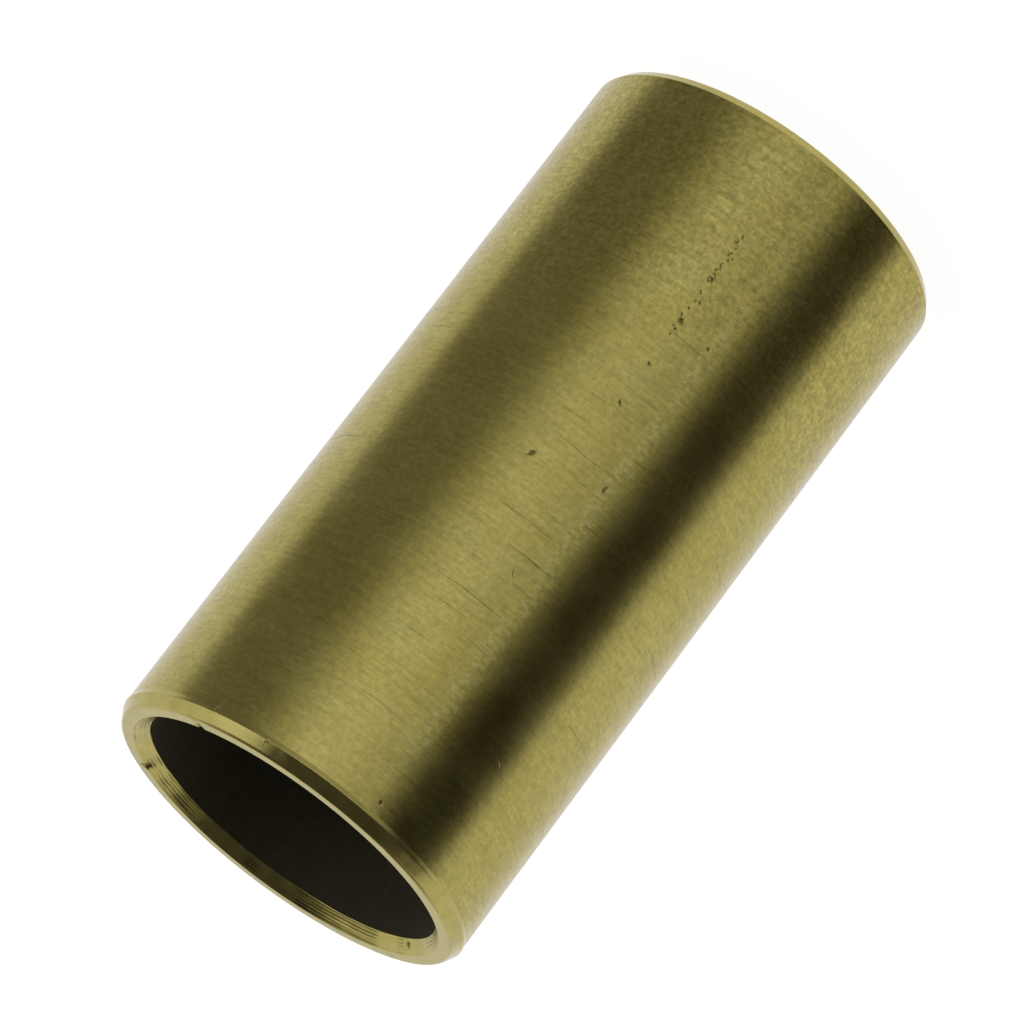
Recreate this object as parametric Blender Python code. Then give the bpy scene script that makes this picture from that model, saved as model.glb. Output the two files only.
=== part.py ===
"""Guitar slide: one brass tube that a player wears on a finger and presses on the strings.

The tube is turned from one piece, so the model is one object. It stands on its tail end with the
bore along +Z. The origin is the centre of the tail's end face, and the mouth faces up.
"""

import math

import bmesh
import bpy
from mathutils import Vector

MM = 0.001

# Driving dimensions: 25 x 2 mm tube stock, cut a little over two inches long.
OUTER_RADIUS = 12.5 * MM
WALL = 2.0 * MM
LENGTH = 51.3 * MM
BORE_RADIUS = OUTER_RADIUS - WALL

# Mouth end: a steep outer chamfer with a burr at its start, a flat lip and a countersink.
MOUTH_CHAMFER_HEIGHT = 0.78 * MM
MOUTH_CHAMFER_WIDTH = 0.40 * MM
BURR_PROUD = 0.10 * MM
BURR_HEIGHT = 0.22 * MM

# Tail end: a smaller chamfer, and the same countersink.
TAIL_CHAMFER_HEIGHT = 0.56 * MM
TAIL_CHAMFER_WIDTH = 0.34 * MM

COUNTERSINK_WIDTH = 0.70 * MM
COUNTERSINK_DEPTH = 0.77 * MM

# Edge roundings: the lip's outer and inner edges, and the edges that the cuts leave nearly sharp.
LIP_OUTER_ROUND = 0.30 * MM
LIP_INNER_ROUND = 0.08 * MM
CUT_ROUND = 0.05 * MM

TURN_STEPS = 96
ARC_STEP = math.radians(30)
MERGE_DISTANCE = 0.001 * MM

BRASS_COLOUR = (0.56, 0.52, 0.25, 1.0)
BRASS_ROUGHNESS = 0.36


def clear_scene():
    for obj in list(bpy.data.objects):
        bpy.data.objects.remove(obj, do_unlink=True)


def brass():
    material = bpy.data.materials.new("brass")
    material.use_nodes = True
    shader = material.node_tree.nodes["Principled BSDF"]
    shader.inputs["Base Color"].default_value = BRASS_COLOUR
    shader.inputs["Metallic"].default_value = 1.0
    shader.inputs["Roughness"].default_value = BRASS_ROUGHNESS
    return material


def rounded(corner, before, after, radius):
    """The points of an arc of this radius that rounds a corner, tangent to both of its sides."""
    to_before = (before - corner).normalized()
    to_after = (after - corner).normalized()
    half_angle = to_before.angle(to_after) / 2
    turn = math.pi - 2 * half_angle
    middle = (to_before + to_after).normalized()
    centre = corner + middle * (radius / math.sin(half_angle))
    start = corner + to_before * (radius / math.tan(half_angle)) - centre
    sign = math.copysign(1, to_before.cross(to_after)) * -1
    pieces = max(1, math.ceil(turn / ARC_STEP))
    arc = []
    for i in range(pieces + 1):
        angle = sign * turn * i / pieces
        cos, sin = math.cos(angle), math.sin(angle)
        arc.append(centre + Vector((start.x * cos - start.y * sin, start.x * sin + start.y * cos)))
    return arc


def tube_corners():
    """The wall's section as corners (radius, height, rounding): down the outside, up the bore."""
    lip_outer = OUTER_RADIUS - MOUTH_CHAMFER_WIDTH
    lip_inner = BORE_RADIUS + COUNTERSINK_WIDTH
    tail_outer = OUTER_RADIUS - TAIL_CHAMFER_WIDTH
    burr_top = LENGTH - MOUTH_CHAMFER_HEIGHT
    burr_foot = burr_top - BURR_HEIGHT
    return [
        (lip_outer, LENGTH, LIP_OUTER_ROUND),
        (OUTER_RADIUS + BURR_PROUD, burr_top, CUT_ROUND),
        (OUTER_RADIUS, burr_foot, CUT_ROUND),
        (OUTER_RADIUS, TAIL_CHAMFER_HEIGHT, CUT_ROUND),
        (tail_outer, 0, LIP_INNER_ROUND),
        (lip_inner, 0, LIP_INNER_ROUND),
        (BORE_RADIUS, COUNTERSINK_DEPTH, CUT_ROUND),
        (BORE_RADIUS, LENGTH - COUNTERSINK_DEPTH, CUT_ROUND),
        (lip_inner, LENGTH, LIP_INNER_ROUND),
    ]


def tube_section():
    """The closed outline of the wall's section, with every corner rounded."""
    corners = tube_corners()
    points = [Vector((radius, height)) for radius, height, _ in corners]
    outline = []
    for i, (_, _, rounding) in enumerate(corners):
        outline += rounded(points[i], points[i - 1], points[(i + 1) % len(points)], rounding)
    return outline


def slide_tube():
    """The whole slide: the section turned once round the bore's axis."""
    mesh = bpy.data.meshes.new("slide_tube")
    section = bmesh.new()
    ring = [section.verts.new((point.x, 0, point.y)) for point in tube_section()]
    for i, vertex in enumerate(ring):
        section.edges.new((vertex, ring[(i + 1) % len(ring)]))
    section.to_mesh(mesh)
    section.free()

    tube = bpy.data.objects.new("slide_tube", mesh)
    bpy.context.scene.collection.objects.link(tube)
    tube.data.materials.append(brass())

    turn = tube.modifiers.new("turn", "SCREW")
    turn.axis = "Z"
    turn.angle = math.tau
    turn.steps = TURN_STEPS
    turn.render_steps = TURN_STEPS
    turn.use_merge_vertices = True
    turn.merge_threshold = MERGE_DISTANCE
    turn.use_smooth_shade = True
    return tube


def main():
    clear_scene()
    slide_tube()


main()
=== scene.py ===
import math
import random

import bmesh
import bpy
from mathutils import Matrix, Vector, noise


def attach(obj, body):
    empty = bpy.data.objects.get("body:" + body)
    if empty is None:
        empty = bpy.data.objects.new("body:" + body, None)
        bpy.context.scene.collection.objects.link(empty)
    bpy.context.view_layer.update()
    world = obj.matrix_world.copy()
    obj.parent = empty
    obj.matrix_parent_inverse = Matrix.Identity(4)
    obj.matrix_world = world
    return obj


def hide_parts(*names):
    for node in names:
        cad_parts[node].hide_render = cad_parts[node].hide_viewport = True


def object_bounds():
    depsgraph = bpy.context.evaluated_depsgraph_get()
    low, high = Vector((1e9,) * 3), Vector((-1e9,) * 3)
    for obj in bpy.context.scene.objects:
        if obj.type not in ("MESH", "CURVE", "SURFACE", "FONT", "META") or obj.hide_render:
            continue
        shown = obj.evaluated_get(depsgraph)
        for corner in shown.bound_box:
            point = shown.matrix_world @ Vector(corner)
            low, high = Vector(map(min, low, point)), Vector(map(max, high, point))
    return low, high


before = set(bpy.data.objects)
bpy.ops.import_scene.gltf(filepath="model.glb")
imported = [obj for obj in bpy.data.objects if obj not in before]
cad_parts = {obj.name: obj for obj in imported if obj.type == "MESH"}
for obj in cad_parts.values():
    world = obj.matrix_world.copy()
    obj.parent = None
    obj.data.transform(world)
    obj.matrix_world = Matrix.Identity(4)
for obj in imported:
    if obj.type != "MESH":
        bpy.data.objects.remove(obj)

# Guitar slide: one turned brass tube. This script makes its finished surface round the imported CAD
# body: rounded rims, a burr, a ridged countersink, grooves, pits and nicks in the mesh, and three
# procedural finishes. The tube stands on its tail end, and the camera looks down on its mouth.

CAD_LOW, CAD_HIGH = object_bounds()
MM = 0.001
LENGTH = CAD_HIGH.z - CAD_LOW.z

# The tube, in the CAD model's own sizes.
OUTER_RADIUS = 12.5 * MM
BORE_RADIUS = 10.5 * MM
MIDDLE_RADIUS = 11.5 * MM
MOUTH_CHAMFER_HEIGHT = 0.78 * MM
MOUTH_CHAMFER_WIDTH = 0.40 * MM
TAIL_CHAMFER_HEIGHT = 0.56 * MM
TAIL_CHAMFER_WIDTH = 0.34 * MM
COUNTERSINK_WIDTH = 0.70 * MM
COUNTERSINK_DEPTH = 0.77 * MM
LIP_ROUND = 0.30 * MM
EDGE_ROUND = 0.09 * MM
BURR_ROUND = 0.07 * MM
BURR_PROUD = 0.05 * MM
BURR_HEIGHT = 0.30 * MM
BURR_LEAST = 0.70
BARREL_TOP = LENGTH - MOUTH_CHAMFER_HEIGHT - BURR_HEIGHT - BURR_ROUND
RIDGES = 5
RIDGE_DEPTH = 0.026 * MM
RIDGE_STRENGTH = 0.9
CUTTER_CHATTER = 0.012 * MM
COUNTERSINK_DIRT = 0.4

# Slow changes round the tube: each noise's seed, or how the seed grows from ridge to ridge or with
# the height in mm, and then the noise's scale on a circle of radius 1.
BURR_NOISE = (3.0, 3)
RIDGE_NOISE = (2.3, 2.5)
CHATTER_NOISE = (4, 9)
COUNTERSINK_DIRT_NOISE = (8.0, 8)
GROOVE_DEPTH_WAVES = 40
GROOVE_WANDER_WAVES = 7

# The mesh: steps round the tube, and the gaps between rings on its plain stretches. A guard ring
# next to each rounded edge keeps the smooth shading of the flat beside it flat.
TURN_STEPS = 300
RING_GAP = 1.0 * MM
BORE_RING_GAP = 5.0 * MM
RIM_RING_GAP = 0.2 * MM
GUARD_GAP = 0.02 * MM
RIDGE_POINTS = 4
ARC_STEP = math.radians(18)

# Angles round the tube are measured from the line that faces the camera, positive towards -X.
# Grooves scratched round the barrel: height in mm, depth in microns, then the middle and span of
# each arc in degrees.
GROOVES = [
    (15.3, 2.6, (8, 26)),
    (16.8, 1.6, (4, 14)),
    (19.8, 2.6, (3, 33)),
    (21.4, 2.4, (-1, 24)),
    (23.2, 2.4, (-8, 14), (16, 9)),
    (24.9, 2.7, (4, 32)),
    (26.4, 2.3, (8, 18)),
    (28.3, 2.2, (4, 10), (17, 8)),
    (29.3, 2.2, (8, 16)),
    (30.3, 3.2, (1, 30), (7, 12)),
    (32.2, 3.2, (8, 22)),
    (34.0, 2.4, (-7, 17), (11, 10)),
    (36.1, 3.4, (1, 35)),
    (37.5, 2.7, (-2, 20)),
    (38.4, 2.8, (10, 16)),
    (40.0, 2.7, (-5, 13)),
    (42.2, 1.8, (-2, 22)),
    (43.4, 1.8, (3, 24)),
    (44.8, 2.2, (0, 26)),
]
# A groove's section: offsets across it, upwards, in mm, and the share of its depth there. Its
# upper wall is steep, and the metal it pushed up stands proud above it.
GROOVE_SECTION = [(-0.12, 0), (-0.05, 0.5), (0, 1), (0.035, -0.35), (0.08, 0)]
GROOVE_WANDER = 0.14 * MM
GROOVE_REACH = 0.125 * MM
# How quickly an arc reaches its full depth, and how much that depth varies.
GROOVE_FILL = 1.6
GROOVE_STRENGTH = 0.75
GROOVE_STRENGTH_CHANGE = 0.6
# On the other three sides each groove has one arc: its side, spread and span, in degrees.
OTHER_SIDES = (90, 180, 270)
OTHER_SIDE_SPREAD = 35
OTHER_SPAN = (8, 20)
GROOVE_SEED = 7

# Pits and nicks: angle in degrees, distance from the axis and height in mm, half length and half
# width in mm, slant from upright in degrees, depth in microns. Metal raised by a scrape has a
# negative depth.
DENTS = [
    (1.1, 12.5, 14.4, 0.34, 0.22, 60, 45),
    (1.2, 12.5, 15.0, 0.16, 0.12, 0, 25),
    (0.8, 12.5, 13.4, 0.18, 0.13, 20, 25),
    (1.0, 12.5, 12.8, 0.14, 0.11, 0, 22),
    (0.6, 12.5, 12.1, 0.17, 0.12, 0, 22),
    (0.9, 12.5, 11.0, 0.26, 0.12, 80, 25),
    (0.3, 12.5, 10.4, 0.15, 0.11, 0, 22),
    (0.7, 12.5, 10.0, 0.17, 0.12, 40, 22),
    (0.5, 12.5, 8.1, 0.20, 0.10, 10, 20),
    (1.3, 12.5, 17.8, 0.24, 0.13, 60, 25),
    (1.3, 12.5, 20.9, 0.27, 0.14, 45, 28),
    (1.2, 12.5, 24.6, 0.15, 0.12, 0, 20),
    (-9.7, 12.5, 26.7, 0.40, 0.21, 147, 50),
    (12.0, 12.5, 14.7, 0.20, 0.15, 30, 28),
    (12.4, 12.5, 25.8, 0.30, 0.18, 0, 18),
    (15.0, 12.5, 49.5, 0.20, 0.15, 0, 26),
    (6.0, 12.5, 33.5, 0.11, 0.10, 0, 18),
    (8.5, 12.5, 12.2, 0.50, 0.09, 50, -10),
    (36.7, 12.5, 42.7, 0.55, 0.08, 55, -9),
    (36.5, 12.5, 8.1, 0.35, 0.07, 75, -8),
    (27.6, 12.5, 23.2, 0.20, 0.14, 30, -9),
    (14.0, 12.5, 42.0, 0.24, 0.12, 90, -8),
    (50.5, 12.5, 4.4, 1.80, 0.22, 8, 3),
    (-44.0, 11.3, 51.3, 0.75, 0.30, 90, 110),
    (-123.5, 11.15, 51.2, 0.45, 0.35, 90, 120),
    (113.5, 10.75, 50.8, 0.30, 0.24, 90, 110),
    (-38.0, 12.52, 50.35, 0.45, 0.20, 0, -30),
    (-20.0, 12.56, 50.5, 0.22, 0.18, 0, -22),
    (125.0, 11.6, 51.3, 0.55, 0.10, 90, 14),
    (168.0, 12.5, 22.0, 0.60, 0.14, 35, 20),
    (-150.0, 12.5, 37.0, 0.40, 0.25, 20, 40),
    (98.0, 12.5, 12.0, 0.80, 0.09, 60, -9),
]
# A trail of tiny pits up the front: how many, their angles' middle and spread in degrees, their
# heights from and to in mm, and their half lengths from and to in mm.
PIT_TRAIL = (30, 0.8, 0.55, 7.5, 15.5, 0.08, 0.15)
PIT_ASPECT = 0.75
PIT_DEPTH = 18
PIT_SEED = 11
# The mesh is cut finer out to this share of a dent's size, into this many pieces for its half
# width. The dents are looked up by bins of angle.
DENT_REACH = 1.5
DENT_PIECES = 3
DENT_BIN = math.radians(3)
FINEST_GAP = 0.018 * MM
DENT_RAGGED = 0.75
DENT_RAGGED_WAVES = 12 / MM

# The depths from which a dent and a groove are fully dirty, and how far from its true radius the
# unmarked barrel may be.
DIRTY_DENT = 0.020 * MM
DIRTY_GROOVE = 0.0048 * MM
TRUE_SURFACE = 0.0006 * MM

CAMERA_PLACE = Vector((0, -0.366371, 0.152543))
CAMERA_AIM = Vector((0.000939, 0, 0.026183))
CAMERA_ROLL = math.radians(-142.824)
CAMERA_LENS = 222.87

CAMERA_SENSOR = 36.0
CAMERA_RANGE = (0.01, 200.0)

FLOOR_HALF_SIDE = 40.0
FLOOR_GREY = 0.35
FLOOR_GLOW = 0.93

BARREL, CUT, BORE = range(3)


def compass(angle):
    """The unit vector across the tube at this angle from the line that faces the camera."""
    return Vector((-math.sin(angle), -math.cos(angle), 0))


def compass_angle(place):
    """The angle round the tube of a place on it."""
    return math.atan2(-place.x, -place.y)


def turned_back(angle):
    """The same angle, from -180 to 180 degrees."""
    return (angle + math.pi) % math.tau - math.pi


def rounded(corner, before, after, radius):
    """The points of an arc of this radius that rounds a corner, tangent to both of its sides."""
    to_before = (before - corner).normalized()
    to_after = (after - corner).normalized()
    half_angle = to_before.angle(to_after) / 2
    turn = math.pi - 2 * half_angle
    centre = corner + (to_before + to_after).normalized() * (radius / math.sin(half_angle))
    start = corner + to_before * (radius / math.tan(half_angle)) - centre
    sign = -math.copysign(1, to_before.cross(to_after))
    pieces = max(2, math.ceil(turn / ARC_STEP))
    arc = []
    for i in range(pieces + 1):
        angle = sign * turn * i / pieces
        cos, sin = math.cos(angle), math.sin(angle)
        arc.append(centre + Vector((start.x * cos - start.y * sin, start.x * sin + start.y * cos)))
    return arc


def evenly(start, end, gap):
    """The points between two ends, no further apart than the gap."""
    count = max(1, math.ceil((end - start).length / gap))
    return [start.lerp(end, i / count) for i in range(1, count)]


def barrel_rings(start, end):
    """The barrel's rings from its top down: a few for each groove, and plain ones between."""
    heights = []
    for height, *_ in GROOVES:
        heights += [(height + offset) * MM for offset, _ in GROOVE_SECTION]
    taken = list(heights)
    count = int((start.y - end.y) / RING_GAP)
    for i in range(1, count):
        plain = start.y + (end.y - start.y) * i / count
        if all(abs(plain - height) > 2 * GROOVE_WANDER for height in taken):
            heights.append(plain)
    return [Vector((OUTER_RADIUS, height)) for height in sorted(heights, reverse=True)]


def stretch(start, end, finish):
    """The points inside one straight stretch of the section."""
    guard = (end - start).normalized() * GUARD_GAP
    first, last = start + guard, end - guard
    if finish == BARREL:
        return [first] + barrel_rings(first, last) + [last]
    if finish == BORE:
        return [first] + evenly(first, last, BORE_RING_GAP) + [last]
    if max(start.x, end.x) < MIDDLE_RADIUS and start.y != end.y:
        return evenly(start, end, (end - start).length / (RIDGES * RIDGE_POINTS))
    return [first] + evenly(first, last, RIM_RING_GAP) + [last]


def outline():
    """The wall's section: (radius and height, finish of the stretch that follows), down the
    outside and up the bore."""
    lip_outer = OUTER_RADIUS - MOUTH_CHAMFER_WIDTH
    lip_inner = BORE_RADIUS + COUNTERSINK_WIDTH
    burr_top = LENGTH - MOUTH_CHAMFER_HEIGHT
    corners = [
        (lip_outer, LENGTH, LIP_ROUND, CUT),
        (OUTER_RADIUS + BURR_PROUD, burr_top, BURR_ROUND, CUT),
        (OUTER_RADIUS, burr_top - BURR_HEIGHT, BURR_ROUND, BARREL),
        (OUTER_RADIUS, TAIL_CHAMFER_HEIGHT, EDGE_ROUND, CUT),
        (OUTER_RADIUS - TAIL_CHAMFER_WIDTH, 0, EDGE_ROUND, CUT),
        (lip_inner, 0, EDGE_ROUND, CUT),
        (BORE_RADIUS, COUNTERSINK_DEPTH, EDGE_ROUND, BORE),
        (BORE_RADIUS, LENGTH - COUNTERSINK_DEPTH, EDGE_ROUND, CUT),
        (lip_inner, LENGTH, EDGE_ROUND, CUT),
    ]
    places = [Vector(corner[:2]) for corner in corners]
    arcs = []
    for i, corner in enumerate(corners):
        arcs.append(rounded(places[i], places[i - 1], places[(i + 1) % len(places)], corner[2]))
    section = []
    for i, corner in enumerate(corners):
        start, end = arcs[i][-1], arcs[(i + 1) % len(arcs)][0]
        section += [(point, CUT) for point in arcs[i][:-1]]
        section.append((start, corner[3]))
        section += [(point, corner[3]) for point in stretch(start, end, corner[3])]
    return section


def swell(share):
    """A smooth hump: 1 in the middle, at 0, falling to 0 at -1 and 1."""
    return (1 - share * share) ** 2 if abs(share) < 1 else 0.0


def wander(angle, seed, waves):
    """Smooth noise from -1 to 1 round the tube, without a seam."""
    return noise.noise(Vector((math.cos(angle) * waves, math.sin(angle) * waves, seed)))


def groove_arcs():
    """Each groove as its height, depth and arcs: the stated ones, and one on each other side."""
    draw = random.Random(GROOVE_SEED)
    grooves = []
    for height, depth, *arcs in GROOVES:
        table = [(math.radians(middle), math.radians(span) / 2) for middle, span in arcs]
        for side in OTHER_SIDES:
            middle = side + draw.uniform(-OTHER_SIDE_SPREAD, OTHER_SIDE_SPREAD)
            table.append((math.radians(middle), math.radians(draw.uniform(*OTHER_SPAN))))
        grooves.append((height * MM, depth * MM / 1000, table))
    return grooves


def groove_at(groove, offset, angle):
    """How deep a groove is at this offset across it and this angle."""
    height, depth, arcs = groove
    strength = sum(swell(turned_back(angle - middle) / half_span) for middle, half_span in arcs)
    change = GROOVE_STRENGTH_CHANGE * wander(angle, height / MM, GROOVE_DEPTH_WAVES)
    strength = min(1.0, GROOVE_FILL * strength) * max(0.0, GROOVE_STRENGTH + change)
    for step, share in GROOVE_SECTION:
        if abs(offset - step * MM) < GUARD_GAP / 4:
            return depth * strength * share
    return 0.0


def ridge_hollow(height, angle):
    """How hollow a countersink is between its cutter's ridges, from 0 to about 1."""
    ridge = RIDGES * min(height, LENGTH - height) / COUNTERSINK_DEPTH
    seed_step, waves = RIDGE_NOISE
    strength = RIDGE_STRENGTH + wander(angle, seed_step * math.floor(ridge), waves)
    return abs(math.sin(math.pi * ridge)) * max(0.0, strength)


def shaped_countersink(radius, height, angle):
    """A countersink's radius here and how much dirt lies there: hollows lie between its ridges."""
    hollow = ridge_hollow(height, angle)
    seed_step, waves = CHATTER_NOISE
    chatter = CUTTER_CHATTER * wander(angle, height / MM * seed_step, waves)
    dirt = hollow * max(0.0, COUNTERSINK_DIRT + wander(angle, *COUNTERSINK_DIRT_NOISE))
    return radius + RIDGE_DEPTH * hollow + chatter, dirt


def shaped_barrel(radius, height, angle, grooves):
    """The barrel's radius and height here with the grooves cut in, and how much dirt lies there."""
    for groove in grooves:
        offset = height - groove[0]
        if abs(offset) < GROOVE_REACH:
            depth = groove_at(groove, offset, angle)
            shift = GROOVE_WANDER * wander(angle, groove[0] / MM, GROOVE_WANDER_WAVES)
            return radius - depth, height + shift, max(0.0, depth / DIRTY_GROOVE)
    return radius, height, 0.0


def shaped(point, angle, grooves):
    """Where a point of the section goes at this angle, and how much dirt lies there."""
    radius, height = point
    dirt = 0.0
    if radius > OUTER_RADIUS + TRUE_SURFACE:
        share = BURR_LEAST + (1 - BURR_LEAST) * (0.5 + wander(angle, *BURR_NOISE))
        radius = OUTER_RADIUS + (radius - OUTER_RADIUS) * share
    elif BORE_RADIUS < radius < MIDDLE_RADIUS and 0 < height < LENGTH:
        radius, dirt = shaped_countersink(radius, height, angle)
    elif radius > OUTER_RADIUS - TRUE_SURFACE:
        radius, height, dirt = shaped_barrel(radius, height, angle, grooves)
    return compass(angle) * radius + Vector((0, 0, height)), dirt


def lathe(section):
    """The section turned round the bore's axis, with its grooves, as an editable mesh."""
    grooves = groove_arcs()
    shape = bmesh.new()
    dirt = shape.verts.layers.float.new("dirt")
    rings = []
    for step in range(TURN_STEPS):
        angle = math.tau * step / TURN_STEPS
        ring = []
        for point, _ in section:
            place, dirtiness = shaped(point, angle, grooves)
            vertex = shape.verts.new(place)
            vertex[dirt] = dirtiness
            ring.append(vertex)
        rings.append(ring)
    for step, ring in enumerate(rings):
        onward = rings[(step + 1) % TURN_STEPS]
        for i, (_, finish) in enumerate(section):
            j = (i + 1) % len(section)
            face = shape.faces.new((ring[i], ring[j], onward[j], onward[i]))
            face.material_index = finish
            face.smooth = True
    bmesh.ops.recalc_face_normals(shape, faces=shape.faces)
    return shape


def pit_trail():
    """The trail of tiny pits, as rows like those of DENTS."""
    draw = random.Random(PIT_SEED)
    count, middle, spread, low, high, least, most = PIT_TRAIL
    rows = []
    for _ in range(count):
        angle, height = draw.gauss(middle, spread), draw.uniform(low, high)
        size = draw.uniform(least, most)
        slant = draw.uniform(0, 180)
        rows.append((angle, OUTER_RADIUS / MM, height, size, size * PIT_ASPECT, slant, PIT_DEPTH))
    return rows


def dents_by_angle():
    """Every dent, listed under the bins of angle that it reaches."""
    bins = {}
    for angle, radius, height, half_length, half_width, slant, depth in DENTS + pit_trail():
        dent = (math.radians(angle), radius * MM, height * MM, half_length * MM,
                half_width * MM, math.radians(slant), depth * MM / 1000)
        reach = 2 * half_length * MM / dent[1] + DENT_BIN
        first = round((dent[0] - reach) / DENT_BIN)
        last = round((dent[0] + reach) / DENT_BIN)
        for name in range(first, last + 1):
            bins.setdefault(name, []).append(dent)
    return bins


def dent_share(dent, place):
    """How far a place is from a dent's middle: 1 at its edge."""
    angle, radius, height, half_length, half_width, slant, _ = dent
    from_axis = math.hypot(place.x, place.y)
    around = turned_back(compass_angle(place) - angle) * radius
    across = math.copysign(math.hypot(from_axis - radius, place.z - height), place.z - height)
    if abs(from_axis - radius) > abs(place.z - height):
        across = math.copysign(across, from_axis - radius)
    along = around * math.sin(slant) + across * math.cos(slant)
    aside = around * math.cos(slant) - across * math.sin(slant)
    if radius < OUTER_RADIUS - GUARD_GAP:
        along, aside = across, around
    ragged = 1 + DENT_RAGGED * noise.noise(place * DENT_RAGGED_WAVES)
    return math.hypot(along / half_length, aside / half_width) * ragged


def too_coarse(edge, bins):
    """Whether an edge near a dent is too long for it."""
    length = edge.calc_length()
    if length < FINEST_GAP:
        return False
    first, last = (vertex.co for vertex in edge.verts)
    place = (first + last) / 2
    for dent in bins.get(round(compass_angle(place) / DENT_BIN), ()):
        fine = length < max(FINEST_GAP, dent[4] / DENT_PIECES)
        if not fine and min(dent_share(dent, spot) for spot in (first, place, last)) < DENT_REACH:
            return True
    return False


def refine(shape, bins):
    """Cuts the mesh finer round each dent, and keeps the barrel round there."""
    wanted = [edge for edge in shape.edges if too_coarse(edge, bins)]
    while wanted:
        bmesh.ops.subdivide_edges(shape, edges=wanted, cuts=1, use_grid_fill=True)
        for vertex in shape.verts:
            from_axis = math.hypot(vertex.co.x, vertex.co.y)
            if 0 < OUTER_RADIUS - from_axis < TRUE_SURFACE:
                vertex.co.xy *= OUTER_RADIUS / from_axis
        wanted = [edge for edge in shape.edges if too_coarse(edge, bins)]


def press_dents(shape, bins):
    """Pushes the surface in at each dent."""
    shape.normal_update()
    dirt = shape.verts.layers.float["dirt"]
    moves = []
    for vertex in shape.verts:
        for dent in bins.get(round(compass_angle(vertex.co) / DENT_BIN), ()):
            depth = swell(dent_share(dent, vertex.co))
            if depth:
                dirtiness = depth * max(-1.0, min(1.0, dent[6] / DIRTY_DENT))
                moves.append((vertex, vertex.normal * (-depth * dent[6]), dirtiness))
    for vertex, move, dirtiness in moves:
        vertex.co += move
        vertex[dirt] += dirtiness


def set_normals(mesh):
    """Gives the barrel its true round normals wherever nothing has marked it."""
    normals = []
    for vertex in mesh.vertices:
        radial = Vector((vertex.co.x, vertex.co.y, 0))
        plain = abs(radial.length - OUTER_RADIUS) < TRUE_SURFACE
        plain = plain and TAIL_CHAMFER_HEIGHT + EDGE_ROUND < vertex.co.z < BARREL_TOP
        normals.append(radial.normalized() if plain else vertex.normal.copy())
    mesh.normals_split_custom_set_from_vertices(normals)


def tube():
    """The finished tube."""
    shape = lathe(outline())
    bins = dents_by_angle()
    refine(shape, bins)
    press_dents(shape, bins)
    mesh = bpy.data.meshes.new("tube")
    shape.to_mesh(mesh)
    shape.free()
    set_normals(mesh)
    piece = bpy.data.objects.new("tube", mesh)
    bpy.context.scene.collection.objects.link(piece)
    for material in (barrel_brass(), cut_brass(), bore_oxide()):
        mesh.materials.append(material)
    return piece


class Graph:
    """Short ways to add and join a node tree's nodes."""

    def __init__(self, tree):
        self.tree = tree

    def node(self, kind, **settings):
        made = self.tree.nodes.new(kind)
        for name, value in settings.items():
            setattr(made, name, value)
        return made

    def feed(self, socket, value):
        """Joins a socket to another node's output, or sets its constant value."""
        if isinstance(value, bpy.types.NodeSocket):
            self.tree.links.new(value, socket)
        else:
            socket.default_value = value

    def math(self, operation, *values):
        made = self.node("ShaderNodeMath", operation=operation)
        for socket, value in zip(made.inputs, values):
            self.feed(socket, value)
        return made.outputs[0]

    def product(self, first, *others):
        for other in others:
            first = self.math("MULTIPLY", first, other)
        return first

    def turn(self, x, y):
        """The angle round the tube of a place or a direction, in degrees from the camera's side."""
        across, towards = self.product(x, -1), self.product(y, -1)
        return self.math("DEGREES", self.math("ARCTAN2", across, towards))

    def ramp(self, value, low, high, to_low=0.0, to_high=1.0):
        """A smooth step from one value to another as the input goes from low to high."""
        made = self.node("ShaderNodeMapRange", interpolation_type="SMOOTHSTEP")
        for socket, value_in in zip(made.inputs, (value, low, high, to_low, to_high)):
            self.feed(socket, value_in)
        return made.outputs["Result"]

    def mix(self, share, first, second):
        made = self.node("ShaderNodeMix", data_type="RGBA")
        for name, value in (("Factor_Float", share), ("A_Color", first), ("B_Color", second)):
            socket = next(s for s in made.inputs if s.identifier == name)
            self.feed(socket, value)
        return next(s for s in made.outputs if s.identifier == "Result_Color")

    def blend(self, share, first, second):
        made = self.node("ShaderNodeMix", data_type="FLOAT")
        for name, value in (("Factor_Float", share), ("A_Float", first), ("B_Float", second)):
            socket = next(s for s in made.inputs if s.identifier == name)
            self.feed(socket, value)
        return next(s for s in made.outputs if s.identifier == "Result_Float")

    def shade(self, colour, amount):
        made = self.node("ShaderNodeVectorMath", operation="SCALE")
        self.feed(made.inputs[0], colour)
        self.feed(made.inputs["Scale"], amount)
        return made.outputs[0]

    def noise(self, place, scale, detail=2.0, roughness=0.5):
        """Noise over a place, with one scale for each axis, in waves a millimetre."""
        mapping = self.node("ShaderNodeMapping", vector_type="POINT")
        mapping.inputs["Scale"].default_value = [s / MM for s in scale]
        self.feed(mapping.inputs["Vector"], place)
        made = self.node("ShaderNodeTexNoise", noise_dimensions="3D")
        made.inputs["Scale"].default_value = 1.0
        made.inputs["Detail"].default_value = detail
        made.inputs["Roughness"].default_value = roughness
        self.feed(made.inputs["Vector"], mapping.outputs["Vector"])
        return made.outputs["Fac"]

    def swing(self, value, amount):
        """A factor round 1 that follows noise, whose middle is 0.5."""
        return self.math("MULTIPLY_ADD", self.math("SUBTRACT", value, 0.5), amount, 1.0)

    def bump(self, height, distance, onto=None):
        made = self.node("ShaderNodeBump")
        made.inputs["Strength"].default_value = 1.0
        made.inputs["Distance"].default_value = distance
        self.feed(made.inputs["Height"], height)
        if onto is not None:
            self.feed(made.inputs["Normal"], onto)
        return made.outputs["Normal"]


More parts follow.
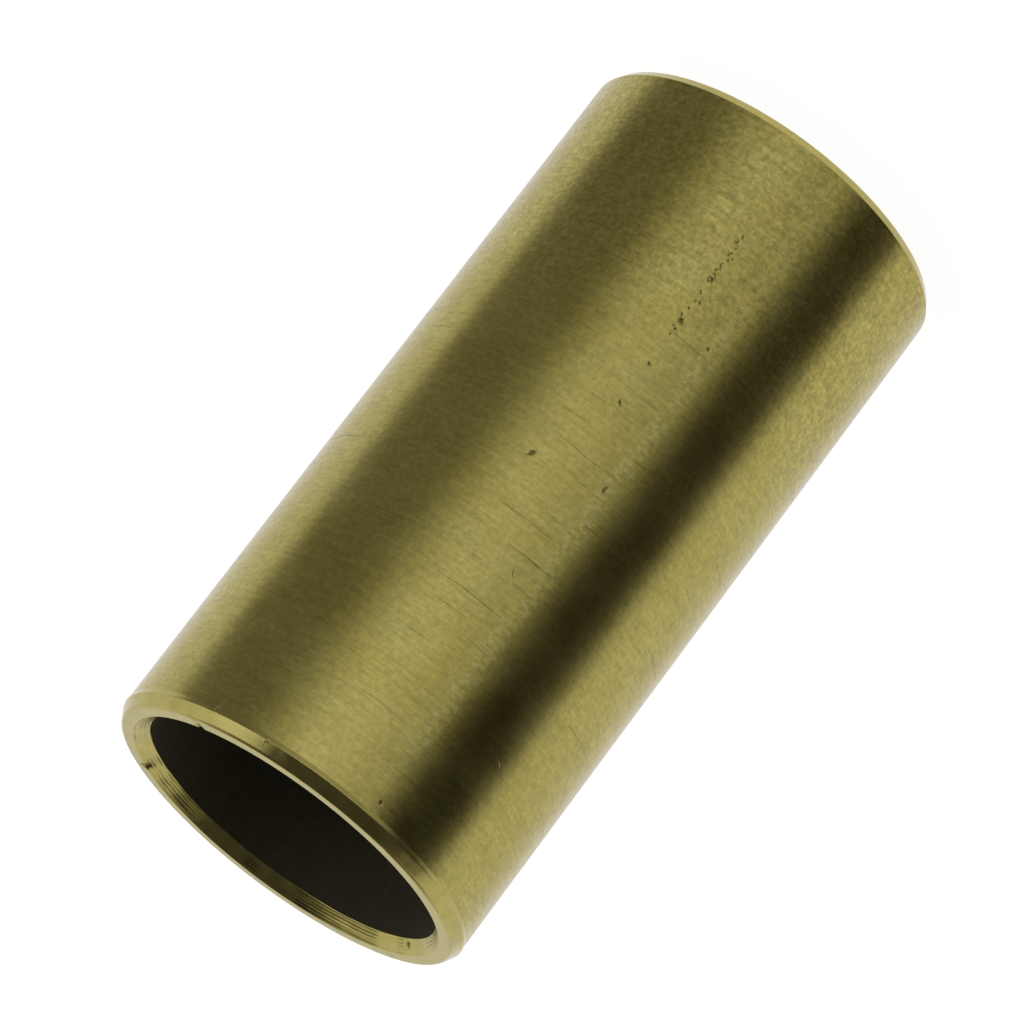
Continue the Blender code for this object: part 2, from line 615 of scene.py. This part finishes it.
# The barrel's finish: its patches' two colours, then the colours of hairlines, of the painted
# glints in the scuff band, and of scrapes. Dirt is the same everywhere.
BARREL_COLOURS = ((0.60, 0.50, 0.130, 1), (0.64, 0.555, 0.162, 1))
HAIRLINE_COLOUR = (0.30, 0.25, 0.08, 1)
# The next colour is for painted glints: bright flecks in the scuff band, where a reflection's edge
# falls.
PAINTED_GLINT_COLOUR = (1.0, 0.91, 0.33, 1)
SCRAPE_COLOUR = (0.95, 0.90, 0.50, 1)
DIRT_COLOUR = (0.10, 0.08, 0.03, 1)
HAIRLINE_SHARE = 0.20
PAINTED_GLINT_SHARE = 0.6
SCRAPE_SHARE = 0.8
DIRT_SHARE = 0.62
STREAK_SWING = 0.55

# The grain is strong near the tail and weaker further up: two heights, and the swing at each.
GRAIN_HEIGHTS = (11 * MM, 19 * MM)
GRAIN_SWING = (1.25, 0.66)

# The scuff band, rougher and with painted glints in its colour: its middle, and how far to each
# side it starts and stops fading, in degrees. It fades in and out between two heights at each end,
# from and to the share that follows them.
SCUFF_GLINT_TURN = 13.8
SCUFF_GLINT_EDGE = (1.4, 3.8)
SCUFF_GLINT_TAIL = (2 * MM, 18 * MM, 0.4)
SCUFF_GLINT_MOUTH = (44 * MM, 48 * MM, 0.2)

# Every noise's scale along each axis, in waves a millimetre, then its detail and roughness.
GRAIN = ((2.8, 2.8, 2.8), 2, 0.7)
BRUSHING = ((0.6, 0.6, 5), 3, 0.6)
HAIRLINES = ((0.35, 0.35, 11), 1)
STAINS = ((0.25, 0.25, 0.25), 4)
SCUFF_GLINT_FLECKS = ((2.2, 2.2, 3.6), 3)
CUT_GRAIN = ((4, 4, 4), 3, 0.6)
CUT_PATCHES = ((0.9, 0.9, 0.9), 3)
BORE_STREAKS = ((3, 3, 0.4), 3)

# Where each noise counts as none and as full.
PATCHY = (0.3, 0.7)
HAIRLINE_LEVELS = (0.60, 0.70)
SCUFF_GLINT_LEVELS = (0.46, 0.62)
BARREL_DIRT_LEVELS = (0.0, 0.8)
SCRAPE_LEVELS = (-0.45, -0.05)
CUT_DIRT_LEVELS = (0.15, 1.0)

BARREL_ROUGHNESS = (0.26, 0.30)
SCUFF_ROUGHNESS = 0.06
DIRT_ROUGHNESS = 0.2
GRAIN_BUMP = 0.0030 * MM
BRUSHING_BUMP = 0.0035 * MM

CUT_COLOURS = ((0.60, 0.505, 0.13, 1), (0.72, 0.625, 0.21, 1))
CUT_SWING = 0.5
CUT_DIRT_SHARE = 0.7
CUT_ROUGHNESS = (0.20, 0.28)
CUT_BUMP = 0.0022 * MM

BORE_COLOURS = ((0.100, 0.088, 0.050, 1), (0.165, 0.148, 0.088, 1))
BORE_METALLIC = 0.3
BORE_ROUGHNESS = 0.5
BORE_BUMP = 0.004 * MM


def metal(name):
    """A material with a metallic shader: the graph, the shader and the place on the object."""
    material = bpy.data.materials.new(name)
    material.use_nodes = True
    graph = Graph(material.node_tree)
    shader = material.node_tree.nodes["Principled BSDF"]
    shader.inputs["Metallic"].default_value = 1.0
    place = graph.node("ShaderNodeTexCoord").outputs["Object"]
    return material, graph, shader, place


def vertex_dirt(graph):
    """The dirt that the mesh carries in its pits and grooves; it is below 0 on scrapes."""
    return graph.node("ShaderNodeAttribute", attribute_name="dirt").outputs["Fac"]


def scuff_and_glint_band(graph, place):
    """How much scuff and painted glint the barrel has here: flecks in one band along it."""
    axes = graph.node("ShaderNodeSeparateXYZ")
    graph.feed(axes.inputs[0], place)
    x, y, z = axes.outputs
    aside = graph.math("ABSOLUTE", graph.math("SUBTRACT", graph.turn(x, y), SCUFF_GLINT_TURN))
    band = graph.ramp(aside, *SCUFF_GLINT_EDGE, 1.0, 0.0)
    low, high, least = SCUFF_GLINT_TAIL
    tail = graph.ramp(z, low, high, least, 1.0)
    low, high, least = SCUFF_GLINT_MOUTH
    mouth = graph.ramp(z, low, high, 1.0, least)
    return graph.product(band, tail, mouth, graph.ramp(graph.noise(place, *SCUFF_GLINT_FLECKS), *SCUFF_GLINT_LEVELS))


def barrel_colour(graph, place, brushing, grain, stains):
    """The barrel's colour without its marks: patches, grain, brushing and hairlines."""
    height = graph.node("ShaderNodeSeparateXYZ")
    graph.feed(height.inputs[0], place)
    speckle = graph.swing(grain, graph.ramp(height.outputs["Z"], *GRAIN_HEIGHTS, *GRAIN_SWING))
    streaks = graph.swing(brushing, STREAK_SWING)
    colour = graph.mix(graph.ramp(stains, *PATCHY), *BARREL_COLOURS)
    colour = graph.shade(colour, graph.product(speckle, streaks))
    hairlines = graph.ramp(graph.noise(place, *HAIRLINES), *HAIRLINE_LEVELS)
    return graph.mix(graph.product(hairlines, HAIRLINE_SHARE), colour, HAIRLINE_COLOUR)


def barrel_brass():
    """Satin brass, brushed round the barrel, with grain, hairlines, a rougher scuff band with
    painted glints in it, stains and dirt.
    """
    material, graph, shader, place = metal("barrel_brass")
    grain = graph.noise(place, *GRAIN)
    brushing = graph.noise(place, *BRUSHING)
    stains = graph.noise(place, *STAINS)
    dirt = vertex_dirt(graph)
    scuffs_and_glints = scuff_and_glint_band(graph, place)
    soiled = graph.ramp(dirt, *BARREL_DIRT_LEVELS)
    scraped = graph.ramp(dirt, *SCRAPE_LEVELS, 1.0, 0.0)

    colour = barrel_colour(graph, place, brushing, grain, stains)
    # Painted glints: the scuff band's flecks get a much brighter base colour where a reflection's
    # edge falls on the barrel.
    colour = graph.mix(graph.product(scuffs_and_glints, PAINTED_GLINT_SHARE), colour, PAINTED_GLINT_COLOUR)
    colour = graph.mix(graph.product(soiled, DIRT_SHARE), colour, DIRT_COLOUR)
    colour = graph.mix(graph.product(scraped, SCRAPE_SHARE), colour, SCRAPE_COLOUR)
    graph.feed(shader.inputs["Base Color"], colour)

    rough = graph.ramp(stains, *PATCHY, *BARREL_ROUGHNESS)
    rough = graph.math("ADD", rough, graph.product(scuffs_and_glints, SCUFF_ROUGHNESS))
    rough = graph.math("ADD", rough, graph.product(soiled, DIRT_ROUGHNESS))
    graph.feed(shader.inputs["Roughness"], rough)
    normal = graph.bump(grain, GRAIN_BUMP)
    graph.feed(shader.inputs["Normal"], graph.bump(brushing, BRUSHING_BUMP, normal))
    return material


def cut_brass():
    """Freshly cut brass on the rims, a little patchy, with dirt in its hollows."""
    material, graph, shader, place = metal("cut_brass")
    grain = graph.noise(place, *CUT_GRAIN)
    patches = graph.noise(place, *CUT_PATCHES)
    soiled = graph.ramp(vertex_dirt(graph), *CUT_DIRT_LEVELS)
    colour = graph.shade(graph.mix(grain, *CUT_COLOURS), graph.swing(patches, CUT_SWING))
    colour = graph.mix(graph.product(soiled, CUT_DIRT_SHARE), colour, DIRT_COLOUR)
    graph.feed(shader.inputs["Base Color"], colour)
    graph.feed(shader.inputs["Roughness"], graph.ramp(patches, *PATCHY, *CUT_ROUGHNESS))
    graph.feed(shader.inputs["Normal"], graph.bump(grain, CUT_BUMP))
    return material


def bore_oxide():
    """The dark oxide that drawn tube has inside."""
    material, graph, shader, place = metal("bore_oxide")
    streaks = graph.noise(place, *BORE_STREAKS)
    graph.feed(shader.inputs["Base Color"], graph.mix(streaks, *BORE_COLOURS))
    shader.inputs["Roughness"].default_value = BORE_ROUGHNESS
    shader.inputs["Metallic"].default_value = BORE_METALLIC
    graph.feed(shader.inputs["Normal"], graph.bump(streaks, BORE_BUMP))
    return material


# The light: a pale tent all round, with a grey panel on one side, a black panel on the other and
# two black hoods over the camera. Its places are directions in degrees: the turn is measured round
# from the camera, positive towards -X, and the rise up from level. A pair of them is where a change
# starts and where it ends, and a pair of lights goes with it.
TENT_LIGHT = 0.62
SIDES_TURN = (60.0, 90.0)

# Behind the tube the tent is brighter below than above.
BEHIND_TURN = (125.0, 180.0)
BEHIND_RISE = (-12.0, 12.0)
BEHIND_LIGHT = (1.0, TENT_LIGHT * 1.06)

# In front it is dim low down, and dips on its way to the black panel.
FRONT_RISE = (-30.0, -10.0)
FRONT_LIGHT = (0.33, 0.852)
DIP_TURN = (1.0, 15.0)
DIP_SHARE = 0.76
DIP_END_TURN = (17.0, 25.0)
DIP_END_SHARE = 0.16

# The grey panel: its two edges and its top.
GREY_PANEL_LIGHT = 0.138
GREY_FAR_TURN = (-112.0, -106.0)
GREY_NEAR_TURN = (-56.0, -14.0)
GREY_TOP_RISE = (10.0, 25.0)

# The black panel: its near edge leans with the rise, and its light falls with it.
BLACK_PANEL_LIGHT = (0.062, 0.0)
BLACK_PANEL_RISE = (-25.0, -18.0)
BLACK_LEAN_RISE = (-27.0, -13.0)
BLACK_LEAN = (9.0, -8.0)
BLACK_NEAR_TURN = (31.0, 39.0)
BLACK_FAR_TURN = (81.0, 84.0)
BLACK_TOP_RISE = (30.0, 45.0)

FLOOR_LIGHT = 0.64
FLOOR_RISE = (-60.0, -50.0)

# The hoods: the middle's turn and rise, the radius, and how far the edge fades to each side.
HOODS = [(10, 38, 44, 4), (25, 84, 43, 16)]
HOOD_LIGHT = 0.05

# The brightest light is slightly blue.
DIM_TINT = (1.0, 1.0, 0.96, 1)
BRIGHT_TINT = (1.0, 1.0, 1.20, 1)
TINTED_LIGHT = (0.40, 0.90)
WHITE = (1, 1, 1, 1)


def tent_round(graph, turn, rise):
    """The pale tent by itself."""
    aside = graph.math("ABSOLUTE", turn)
    behind = graph.ramp(rise, *BEHIND_RISE, *BEHIND_LIGHT)
    tent = graph.ramp(aside, *BEHIND_TURN, TENT_LIGHT, behind)
    front = graph.ramp(rise, *FRONT_RISE, *FRONT_LIGHT)
    dip = graph.ramp(turn, *DIP_TURN, 1.0, DIP_SHARE)
    dip = graph.math("ADD", dip, graph.ramp(turn, *DIP_END_TURN, 0.0, DIP_END_SHARE))
    return graph.blend(graph.ramp(aside, *SIDES_TURN), graph.product(front, dip), tent)


def with_panels(graph, light, turn, rise):
    """The light with the grey and the black panel in it, and the floor's glow under them."""
    grey = graph.ramp(turn, *GREY_FAR_TURN)
    grey = graph.product(grey, graph.ramp(turn, *GREY_NEAR_TURN, 1.0, 0.0))
    grey = graph.product(grey, graph.ramp(rise, *GREY_TOP_RISE, 1.0, 0.0))
    light = graph.blend(grey, light, GREY_PANEL_LIGHT)

    leaning = graph.math("SUBTRACT", turn, graph.ramp(rise, *BLACK_LEAN_RISE, *BLACK_LEAN))
    black = graph.ramp(leaning, *BLACK_NEAR_TURN)
    black = graph.product(black, graph.ramp(turn, *BLACK_FAR_TURN, 1.0, 0.0))
    black = graph.product(black, graph.ramp(rise, *BLACK_TOP_RISE, 1.0, 0.0))
    light = graph.blend(black, light, graph.ramp(rise, *BLACK_PANEL_RISE, *BLACK_PANEL_LIGHT))
    return graph.blend(graph.ramp(rise, *FLOOR_RISE, 1.0, 0.0), light, FLOOR_LIGHT)


def with_hoods(graph, light, direction):
    """The light with the hoods in it."""
    for hood_turn, hood_rise, radius, softness in HOODS:
        hood_rise = math.radians(hood_rise)
        axis = compass(math.radians(hood_turn)) * math.cos(hood_rise)
        axis.z = math.sin(hood_rise)
        nearness = graph.node("ShaderNodeVectorMath", operation="DOT_PRODUCT")
        graph.feed(nearness.inputs[0], direction)
        nearness.inputs[1].default_value = axis
        outside = math.cos(math.radians(radius + softness))
        inside = math.cos(math.radians(radius - softness))
        hood = graph.ramp(nearness.outputs["Value"], outside, inside)
        light = graph.blend(hood, light, HOOD_LIGHT)
    return light


def light_tent():
    """The world: the tent as the brass reflects it, and white where the camera sees it."""
    world = bpy.data.worlds.new("tent")
    bpy.context.scene.world = world
    world.use_nodes = True
    graph = Graph(world.node_tree)
    direction = graph.node("ShaderNodeTexCoord").outputs["Generated"]
    axes = graph.node("ShaderNodeSeparateXYZ")
    graph.feed(axes.inputs[0], direction)
    x, y, z = axes.outputs
    turn = graph.turn(x, y)
    rise = graph.math("DEGREES", graph.math("ARCSINE", z))
    light = tent_round(graph, turn, rise)
    light = with_panels(graph, light, turn, rise)
    light = with_hoods(graph, light, direction)

    seen = graph.node("ShaderNodeLightPath").outputs["Is Camera Ray"]
    light = graph.blend(seen, light, 1.0)
    tint = graph.mix(graph.ramp(light, *TINTED_LIGHT), DIM_TINT, BRIGHT_TINT)
    background = world.node_tree.nodes["Background"]
    graph.feed(background.inputs["Color"], graph.mix(seen, tint, WHITE))
    graph.feed(background.inputs["Strength"], light)


def floor():
    """A pale floor that glows a little, so that it fades into the tent."""
    mesh = bpy.data.meshes.new("floor")
    side = FLOOR_HALF_SIDE
    corners = [(-side, -side, 0), (side, -side, 0), (side, side, 0), (-side, side, 0)]
    mesh.from_pydata(corners, [], [(0, 1, 2, 3)])
    plane = bpy.data.objects.new("floor", mesh)
    bpy.context.scene.collection.objects.link(plane)
    material = bpy.data.materials.new("floor")
    material.use_nodes = True
    shader = material.node_tree.nodes["Principled BSDF"]
    shader.inputs["Base Color"].default_value = (FLOOR_GREY, FLOOR_GREY, FLOOR_GREY, 1)
    shader.inputs["Roughness"].default_value = 1.0
    shader.inputs["Emission Color"].default_value = WHITE
    shader.inputs["Emission Strength"].default_value = FLOOR_GLOW
    mesh.materials.append(material)
    plane.visible_glossy = False
    plane.location.z = CAD_LOW.z


def camera():
    """The camera looks down on the mouth from in front, rolled so that the mouth is lower left."""
    lens = bpy.data.cameras.new("camera")
    lens.lens = CAMERA_LENS
    lens.sensor_width = CAMERA_SENSOR
    lens.clip_start, lens.clip_end = CAMERA_RANGE
    made = bpy.data.objects.new("camera", lens)
    bpy.context.scene.collection.objects.link(made)
    look = (CAMERA_AIM - CAMERA_PLACE).to_track_quat("-Z", "Y").to_matrix().to_4x4()
    roll = Matrix.Rotation(CAMERA_ROLL, 4, "Z")
    made.matrix_world = Matrix.Translation(CAMERA_PLACE) @ look @ roll
    bpy.context.scene.camera = made


def main():
    camera()
    light_tent()
    floor()
    piece = tube()
    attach(piece, "root")
    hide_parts("slide_tube")
    bpy.context.scene.view_settings.view_transform = "Standard"


main()
